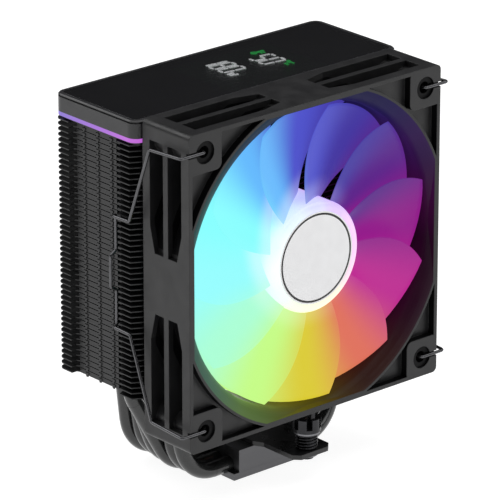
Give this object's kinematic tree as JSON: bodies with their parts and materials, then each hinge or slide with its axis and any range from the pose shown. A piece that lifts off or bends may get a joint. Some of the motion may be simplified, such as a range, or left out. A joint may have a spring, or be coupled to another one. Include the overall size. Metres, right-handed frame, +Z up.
{
  "type": "cpu tower cooler",
  "caption": "Single-tower processor cooler with heat pipes, a fin stack, a lit axial fan held by wire clips, a display cover and a spring-loaded mounting bar.",
  "frame": {"origin": "centre of the cold plate's contact face", "axes": "+Z up from the processor, -Y towards the fan's intake side, +X to the right when looking at the fan"},
  "size_m": [0.129, 0.0888, 0.1485],
  "materials": {
    "base_metal": "milled, nickel plated",
    "pipe_black": "gloss black coating",
    "bar_black": "satin black coating",
    "screw_steel": "bright",
    "fin_black": "satin black coating",
    "cover_plastic": "fine satin",
    "light_strip": "frosted, lit",
    "led_white": "clear gel",
    "circuit_board": "solder mask",
    "digit_white": "lit",
    "mark_green": "lit",
    "display_glass": "smoked, polished",
    "socket_plastic": "moulded",
    "frame_plastic": "fine satin",
    "bearing_brass": "sintered",
    "coil_copper": "enamelled wire",
    "label_silver": "blank foil label",
    "blade_glow": "milky translucent, lit",
    "badge_white": "satin",
    "magnet_dark": "bonded ferrite",
    "clip_steel": "dark spring wire",
    "spring_steel": "bright spring wire",
    "nut_black": "black nickel"
  },
  "bodies": {
    "cooler": {"cold_plate": "base_metal", "base_block": "base_metal", "heat_pipe_1": "pipe_black", "heat_pipe_2": "pipe_black", "heat_pipe_3": "pipe_black", "heat_pipe_4": "pipe_black", "heat_pipe_5": "pipe_black", "heat_pipe_6": "pipe_black", "mounting_bar": "bar_black", "bar_screws": "screw_steel", "fin_stack": "fin_black", "cover_tray": "cover_plastic", "light_guide": "light_strip", "light_leds": "led_white", "top_cover": "cover_plastic", "cover_screws": "screw_steel", "display_board": "circuit_board", "display_digits": "digit_white", "display_marks": "mark_green", "display_window": "display_glass", "display_socket": "socket_plastic", "fan_frame": "frame_plastic", "fan_bearing": "bearing_brass", "stator_core": "screw_steel", "stator_coils": "coil_copper", "motor_board": "circuit_board", "board_leds": "led_white", "fan_label": "label_silver", "front_spring": "spring_steel", "rear_spring": "spring_steel"},
    "rotor": {"impeller": "blade_glow", "hub_badge": "badge_white", "rotor_yoke": "screw_steel", "rotor_magnet": "magnet_dark", "rotor_shaft": "screw_steel", "shaft_ring": "socket_plastic"},
    "left_clip": {"clip_left": "clip_steel"},
    "right_clip": {"clip_right": "clip_steel"},
    "front_push": {"front_washer": "screw_steel"},
    "front_screw": {"front_nut": "nut_black", "front_nut_ring": "screw_steel"},
    "rear_push": {"rear_washer": "screw_steel"},
    "rear_screw": {"rear_nut": "nut_black", "rear_nut_ring": "screw_steel"}
  },
  "joints": [
    {"name": "fan_spin", "type": "hinge", "parent": "cooler", "child": "rotor", "pos_m": [0, -0.0315, 0.0885], "axis": [0, 1, 0], "continuous": true},
    {"name": "left_clip_swing", "type": "hinge", "parent": "cooler", "child": "left_clip", "pos_m": [-0.0525, -0.0439, 0.0885], "axis": [0, 0, 1], "range_deg": [0, 25]},
    {"name": "right_clip_swing", "type": "hinge", "parent": "cooler", "child": "right_clip", "pos_m": [0.0525, -0.0439, 0.0885], "axis": [0, 0, -1], "range_deg": [0, 25]},
    {"name": "front_nut_press", "type": "slide", "parent": "cooler", "child": "front_push", "axis": [0, 0, -1], "range_m": [0, 0.0022], "stiffness_N_per_m": 2000, "springref_m": -0.003, "deforming": ["front_spring"]},
    {"name": "front_nut_turn", "type": "hinge", "parent": "front_push", "child": "front_screw", "pos_m": [0, -0.039, 0.02], "axis": [0, 0, 1], "continuous": true},
    {"name": "rear_nut_press", "type": "slide", "parent": "cooler", "child": "rear_push", "axis": [0, 0, -1], "range_m": [0, 0.0022], "stiffness_N_per_m": 2000, "springref_m": -0.003, "deforming": ["rear_spring"]},
    {"name": "rear_nut_turn", "type": "hinge", "parent": "rear_push", "child": "rear_screw", "pos_m": [0, 0.039, 0.02], "axis": [0, 0, 1], "continuous": true}
  ]
}
